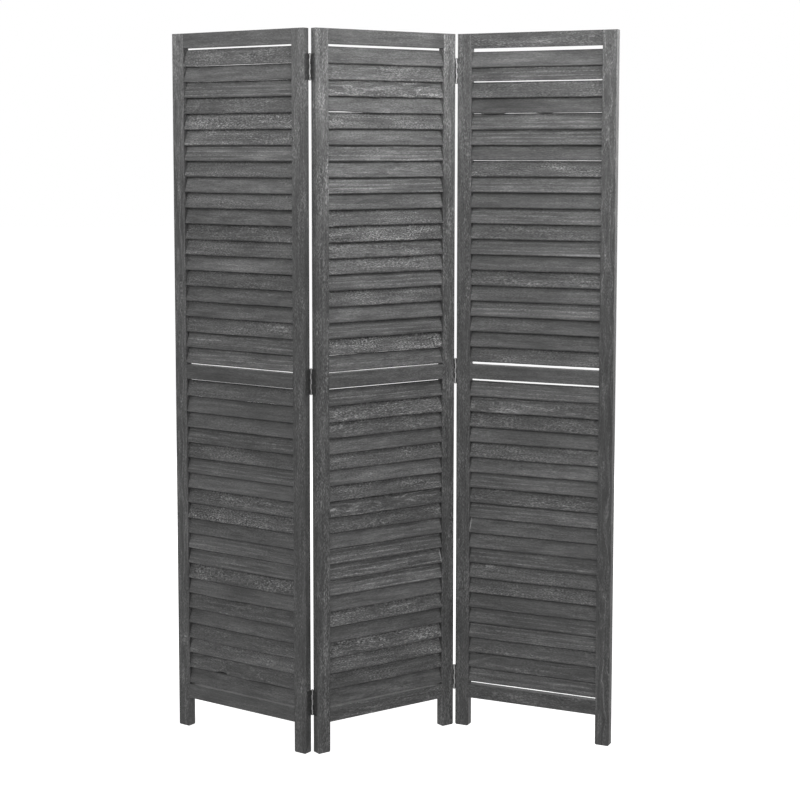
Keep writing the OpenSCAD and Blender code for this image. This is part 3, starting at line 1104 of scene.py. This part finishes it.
    @staticmethod
    def join(name: str, meshes: list[dict[str, object]]) -> bpy.types.Object:
        """Joins slats into one piece, with the values that their material reads.

        Args:
            name: the piece's name.
            meshes: the slats.

        Returns:
            The piece.
        """
        faces = []
        base = 0
        for made in meshes:
            faces += [tuple(base + corner for corner in face) for face in made["faces"]]
            base += len(made["points"])
        mesh = bpy.data.meshes.new(name)
        mesh.from_pydata(np.concatenate([m["points"] for m in meshes]).tolist(), [], faces)
        for attribute in SLAT_VECTORS:
            layer = mesh.attributes.new(attribute, "FLOAT_VECTOR", "POINT")
            layer.data.foreach_set("vector", np.concatenate([m[attribute] for m in meshes]).ravel())
        layer = mesh.attributes.new("contrast", "FLOAT", "POINT")
        layer.data.foreach_set("value", np.concatenate([m["contrast"] for m in meshes]))
        mesh.shade_smooth()
        mesh.update()
        piece = bpy.data.objects.new(name, mesh)
        bpy.context.scene.collection.objects.link(piece)
        return piece


@dataclass(frozen=True)
class SlatWood(StainedWood):
    """The slats' wood, which reads each slat's own grain from the mesh.

    Attributes:
        rub_scale, rub_ramp: rubbed places to the metre along, across and through the grain, and the
            smooth step of that noise.
        rub_start: how much likelier the stain is rubbed off at an edge.
    """

    rub_scale: Triple = (26.0, 60.0, 60.0)
    rub_ramp: Pair = (0.58, 0.7)
    rub_start: float = 0.22

    def material(self) -> bpy.types.Material:
        """Makes the material of all the slats.

        Returns:
            The material.
        """
        material, tree = new_material("Slat_Wood")
        grain, figure, surface = (
            tree.add("Attribute", attribute_name=name).outputs["Vector"] for name in SLAT_VECTORS
        )
        warp, fleck, rings = tree.parts(figure)
        tone, curl, edge = tree.parts(surface)
        wood = WoodGrain.place(
            tree,
            grain=grain,
            warp=tree.times(warp, MM),
            fleck=fleck,
            rings=rings,
            curl=tree.times(curl, MM),
            contrast=tree.add("Attribute", attribute_name="contrast").outputs["Fac"],
        )
        chance = tree.noise(grain, self.rub_scale, 3.0)
        rubbed = tree.ramp(tree.plus(chance, tree.times(edge, self.rub_start)), *self.rub_ramp)
        self.finish(tree, wood, tone, tree.times(edge, rubbed))
        return material


@dataclass(frozen=True)
class Stock:
    """A straight piece of a panel's frame.

    Attributes:
        part: its name in the CAD model, after the panel's.
        upright: True for a stile.
        middle: where its centre line is, across its grain.
    """

    part: str
    upright: bool
    middle: float


@dataclass(frozen=True)
class FrameWood(StainedWood):
    """The wood of a stile or rail, whose grain runs along the piece.

    Attributes:
        end_grain: how many stops lighter its sawn ends are; below 0 they are darker.
        end_facing: how squarely a face looks along the grain where that sets in, and where it is full.
        painted_top_light: painted light, how many stops lighter a stile is painted towards its top, where
            more light falls on it.
            painted_light_from, painted_light_to: between which heights it does.
        log_step: how far apart along one log the pieces were cut.
    """

    ground: float = 0.085
    end_grain: float = -0.5
    end_facing: Pair = (0.9, 0.99)
    painted_top_light: float = 0.5
    painted_light_from: float = 1.2
    painted_light_to: float = 1.68
    log_step: float = 2.7

    def material(self, panel: Panel, board: Board, stock: Stock, seed: int) -> bpy.types.Material:
        """Makes the material of one stile or rail.

        Args:
            panel: the panel that the piece is in.
            board: its wood.
            stock: the piece.
            seed: where along the log the piece was cut, in steps.

        Returns:
            The material.
        """
        material, tree = new_material(f"Wood_{panel.name}_{stock.part}")
        space = PanelSpace.place(tree, turn=panel.angle, corner=tuple(panel.corner))
        x, y, z = tree.parts(space.outputs["Position"])
        figure = board.figure.value
        along, across = (z, x) if stock.upright else (x, z)
        grain = tree.join(
            tree.plus(along, self.log_step * seed),
            tree.plus(across, figure.pith_across - stock.middle),
            tree.math("SUBTRACT", figure.pith_below, y),
        )
        wood = WoodGrain.place(
            tree,
            grain=grain,
            warp=figure.warp,
            fleck=figure.fleck,
            rings=figure.rings,
            curl=figure.curl,
            contrast=panel.contrast,
        )
        wear = ArrisWear.place(tree, normal=space.outputs["Normal"], grain=grain).outputs["Wear"]
        facing = tree.parts(space.outputs["Normal"])[2 if stock.upright else 0]
        end = tree.ramp(tree.math("ABSOLUTE", facing), *self.end_facing, 0.0, self.end_grain)
        # Painted light: a stile is painted lighter towards its top, where more light falls on it.
        lighter = self.painted_top_light if stock.upright else 0.0
        top = tree.ramp(z, self.painted_light_from, self.painted_light_to, 0.0, lighter)
        self.finish(tree, wood, tree.plus(end, board.tone, top), wear)
        return material


@dataclass(frozen=True)
class DowelWood:
    """Pale unstained beech of the dowels.

    Attributes:
        light, dark: its colours, linear.
        roughness: how rough it is.
        fibre_scale, fibre_ramp: fibres to the metre along the panel's axes, and the smooth step of
            that noise from dark to light.
        relief, relief_depth: how much of the fibres' relief shows, and how deep that is.
    """

    light: Colour = (0.46, 0.37, 0.26, 1.0)
    dark: Colour = (0.27, 0.2, 0.13, 1.0)
    roughness: float = 0.6
    fibre_scale: Triple = (60.0, 900.0, 900.0)
    fibre_ramp: Pair = (0.35, 0.65)
    relief: float = 0.3
    relief_depth: float = 0.1 * MM

    def material(self, panel: Panel) -> bpy.types.Material:
        """Makes the material of a panel's dowels, with its fibres across the panel.

        Args:
            panel: the panel.

        Returns:
            The material.
        """
        material, tree = new_material(f"Dowels_{panel.name}")
        space = PanelSpace.place(tree, turn=panel.angle, corner=tuple(panel.corner))
        fibres = tree.noise(space.outputs["Position"], self.fibre_scale, 3.0)
        colour = tree.mix(tree.ramp(fibres, *self.fibre_ramp), self.dark, self.light)
        normal = tree.bump(fibres, self.relief, self.relief_depth)
        tree.surface({"Base Color": colour, "Roughness": self.roughness, "Normal": normal})
        return material


@dataclass
class PanelFrame:
    """Stiles and rails of a panel, with the dowels in their joints.

    Attributes:
        panel: their panel.
        seed: where along the log its first piece was cut, in steps.
        stock: the stiles and rails, in the order of the panel's frame boards.
    """

    panel: Panel
    seed: int
    stock: tuple[Stock, ...] = (
        Stock("left_stile", True, 17.5 * MM),
        Stock("right_stile", True, 382.5 * MM),
        Stock("top_rail", False, 1682.5 * MM),
        Stock("middle_rail", False, 886.0 * MM),
        Stock("bottom_rail", False, 89.5 * MM),
    )

    def dress(self, nodes: Nodes) -> int:
        """Gives each stile and rail wood of its own, and the dowels theirs.

        Args:
            nodes: the frame's nodes.

        Returns:
            How many nodes were dressed.
        """
        entries = self.panel.frame_boards.split()
        for i, (stock, entry) in enumerate(zip(self.stock, entries)):
            material = FrameWood().material(self.panel, Board.read(entry), stock, self.seed + i)
            set_material(nodes[f"{self.panel.name}_{stock.part}"], material)
        set_material(nodes[f"{self.panel.name}_dowels"], DowelWood().material(self.panel))
        return len(entries) + 1


def set_material(node: bpy.types.Object, material: bpy.types.Material) -> None:
    """Dresses a CAD node.

    Args:
        node: the node's object.
        material: the material for every slot of it.
    """
    for slot in node.material_slots:
        slot.link = "OBJECT"
        slot.material = material


@dataclass
class Hinges:
    """The three butt hinges of one fold.

    Attributes:
        fold: the fold's name in the CAD model.
        leaf_finish: the leaves' steel.
        pin_finish: the pins' steel.
        bright_side: the side on which the outer leaf's knuckles are rubbed bright, 1 for the right.
        levels: the hinges' names.
    """

    fold: str
    leaf_finish: Steel
    pin_finish: Steel
    bright_side: float
    levels: tuple[str, ...] = ("top", "middle", "bottom")

    def dress(self, nodes: Nodes) -> int:
        """Dresses the leaves and pins.

        Args:
            nodes: the frame's nodes.

        Returns:
            How many nodes were dressed.
        """
        low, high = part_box(f"{self.fold}_middle_hinge_pin")
        axis = (low + high) / 2
        outer = self.leaf_finish.material(f"Outer_Leaf_{self.fold}", axis, self.bright_side)
        middle = self.leaf_finish.material(f"Middle_Leaf_{self.fold}", axis, -self.bright_side)
        pin = self.pin_finish.material(f"Pin_{self.fold}")
        count = 0
        for level in self.levels:
            for part, material in (("outer_leaf", outer), ("middle_leaf", middle), ("pin", pin)):
                set_material(nodes[f"{self.fold}_{level}_hinge_{part}"], material)
                count += 1
        return count


@dataclass(frozen=True)
class SoftBox:
    """A soft lamp of the studio.

    Attributes:
        name: its name.
        place: where it stands.
        aim: what it points at.
        size: its width and its height.
        power: its power in watts.
    """

    name: str
    place: Triple
    aim: Triple
    size: float
    power: float

    def build(self) -> bpy.types.Object:
        """Puts the lamp into the scene.

        Returns:
            The lamp.
        """
        data = bpy.data.lights.new(self.name, "AREA")
        data.shape = "SQUARE"
        data.size = self.size
        data.energy = self.power
        lamp = bpy.data.objects.new(self.name, data)
        lamp.location = self.place
        lamp.rotation_euler = (Vector(self.aim) - Vector(self.place)).to_track_quat("-Z", "Y").to_euler()
        lamp.visible_camera = False
        bpy.context.scene.collection.objects.link(lamp)
        return lamp


@dataclass
class Studio:
    """A plain white studio: floor, surroundings, soft lamps, and the camera where the photograph was taken.

    Attributes:
        picture: the photograph's width and height in pixels.
        focal, centre: the focal length and the principal point in those pixels.
        pitch: how far the camera looks down, in degrees.
        eye: where it stands.
        sensor: its sensor's width in millimetres.
        far: how far it sees.
        sky: how strongly the surroundings light the screen.
        floor_size, floor_depth: the floor's width, and how far it lies under the feet.
        floor_albedo, floor_roughness: how light and how rough it is.
        floor_glow: how strongly it shines for the rays that show the surroundings.
        lamps: the soft lamps.
    """

    picture: float = 800.0
    focal: float = 1804.8
    centre: Pair = (383.64, 327.73)
    pitch: float = 5.549
    eye: Triple = (-0.0194, -4.2756, 1.4171)
    sensor: float = 36.0
    far: float = 200.0
    sky: float = 0.15
    floor_size: float = 60.0
    floor_depth: float = 0.3 * MM
    floor_albedo: float = 0.8
    floor_roughness: float = 0.9
    floor_glow: float = 0.9
    lamps: tuple[SoftBox, ...] = (
        SoftBox("Front_Right", (2.5, -3.5, 2.5), (0.0, 0.0, 1.1), 1.6, 47.0),
        SoftBox("Front_Left", (-2.5, -3.5, 2.5), (0.0, 0.0, 1.1), 1.6, 55.0),
        SoftBox("High_Right", (0.9, -0.4, 1.77), (0.0, 0.0, 1.4), 0.25, 3.7),
        SoftBox("High_Left", (-0.9, -0.3, 1.77), (0.0, 0.0, 1.4), 0.25, 1.6),
        SoftBox("High_Centre", (0.0, -0.55, 1.75), (0.0, 0.0, 1.4), 0.25, 1.3),
        SoftBox("High_Middle", (0.35, -0.45, 1.83), (0.0, 0.0, 1.4), 0.25, 0.9),
        SoftBox("Back_Right", (2.5, 3.5, 1.6), (0.0, 0.0, 1.4), 2.0, 60.0),
        SoftBox("Back_Left", (-2.5, 3.5, 1.6), (0.0, 0.0, 1.4), 2.0, 60.0),
    )

    def camera(self) -> bpy.types.Object:
        """Makes the camera.

        Returns:
            The camera.
        """
        data = bpy.data.cameras.new("Camera")
        data.sensor_width = self.sensor
        data.lens = self.focal / self.picture * self.sensor
        data.shift_x = 0.5 - self.centre[0] / self.picture
        data.shift_y = self.centre[1] / self.picture - 0.5
        data.clip_end = self.far
        camera = bpy.data.objects.new("Camera", data)
        camera.location = self.eye
        camera.rotation_euler = (math.radians(90.0 - self.pitch), 0.0, 0.0)
        bpy.context.scene.collection.objects.link(camera)
        bpy.context.scene.camera = camera
        return camera

    @staticmethod
    def seen(tree: ShaderTree) -> Socket:
        """Finds the rays that show the surroundings: the camera's, reflections and refractions.

        Args:
            tree: the material's or the world's nodes.

        Returns:
            1 for those rays, 0 for the others.
        """
        path = tree.add("LightPath")
        camera, glossy, transmission = (
            path.outputs[name] for name in ("Is Camera Ray", "Is Glossy Ray", "Is Transmission Ray")
        )
        return tree.math("MAXIMUM", tree.math("MAXIMUM", camera, glossy), transmission)

    def world(self) -> bpy.types.World:
        """Makes surroundings that look white and light the screen evenly.

        Returns:
            The world.
        """
        world = bpy.data.worlds.new("Studio")
        world.use_nodes = True
        world.node_tree.nodes.clear()
        tree = ShaderTree(world.node_tree)
        strength = tree.ramp(self.seen(tree), 0.0, 1.0, self.sky, 1.0)
        background = tree.add("Background", {"Color": grey(1.0), "Strength": strength})
        tree.add("OutputWorld", {"Surface": background.outputs[0]})
        bpy.context.scene.world = world
        return world

    def floor(self) -> bpy.types.Object:
        """Makes the pale floor, which keeps the screen's shadow.

        Returns:
            The floor.
        """
        half = self.floor_size / 2
        mesh = bpy.data.meshes.new("Floor")
        square = [(-half, -half, 0.0), (half, -half, 0.0), (half, half, 0.0), (-half, half, 0.0)]
        mesh.from_pydata(square, [], [(0, 1, 2, 3)])
        floor = bpy.data.objects.new("Floor", mesh)
        floor.location.z = -self.floor_depth
        bpy.context.scene.collection.objects.link(floor)
        material, tree = new_material("Pale_Floor")
        tree.surface(
            {
                "Base Color": grey(self.floor_albedo),
                "Roughness": self.floor_roughness,
                "Specular IOR Level": 0.0,
                "Emission Color": grey(1.0),
                "Emission Strength": tree.times(self.seen(tree), self.floor_glow),
            }
        )
        mesh.materials.append(material)
        return floor

    def build(self) -> None:
        """Sets up the studio."""
        bpy.context.scene.view_settings.view_transform = "Standard"
        self.camera()
        self.world()
        self.floor()
        for lamp in self.lamps:
            lamp.build()


FRAME_SEED = 11
FRAME_SEED_STEP = 7
SLAT_SEED = 101
DARK_STEEL = Steel(coat=0.07, bare=0.56, coat_metallic=0.35, coat_roughness=0.45)
WORN_STEEL = Steel(coat=0.09, bare=0.52, coat_metallic=0.5, coat_roughness=0.4)
PIN_STEEL = Steel(coat=0.2, bare=0.4, coat_metallic=1.0, coat_roughness=0.36)
SCREW_STEEL = Steel(coat=0.1, bare=0.3, coat_metallic=0.5, coat_roughness=0.4)


def main() -> None:
    """Builds the screen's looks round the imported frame."""
    logging.basicConfig(level=logging.INFO, format="%(name)s: %(message)s")
    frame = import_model()
    nodes = frame["nodes"]

    slat_wood = SlatWood().material()
    for i, panel in enumerate(PANELS):
        panel.locate(nodes)
        dressed = PanelFrame(panel, seed=FRAME_SEED + FRAME_SEED_STEP * i).dress(nodes)
        LOG.info("%s: %d nodes of stiles, rails and dowels dressed", panel.name, dressed)
        for piece in Slats(panel, seed=SLAT_SEED + i).build(nodes, slat_wood):
            LOG.info("%s: %d points", piece.name, len(piece.data.vertices))

    for fold, finish, bright_side in (("left_fold", DARK_STEEL, 1.0), ("right_fold", WORN_STEEL, -1.0)):
        hinges = Hinges(fold, finish, PIN_STEEL, bright_side)
        LOG.info("%s: %d hinge nodes dressed", fold, hinges.dress(nodes))
    screws = SCREW_STEEL.material("Screws")
    for name in ("left_panel", "middle_panel_left", "middle_panel_right", "right_panel"):
        set_material(nodes[f"{name}_hinge_screws"], screws)

    Studio().build()


if __name__ == "__main__":
    main()
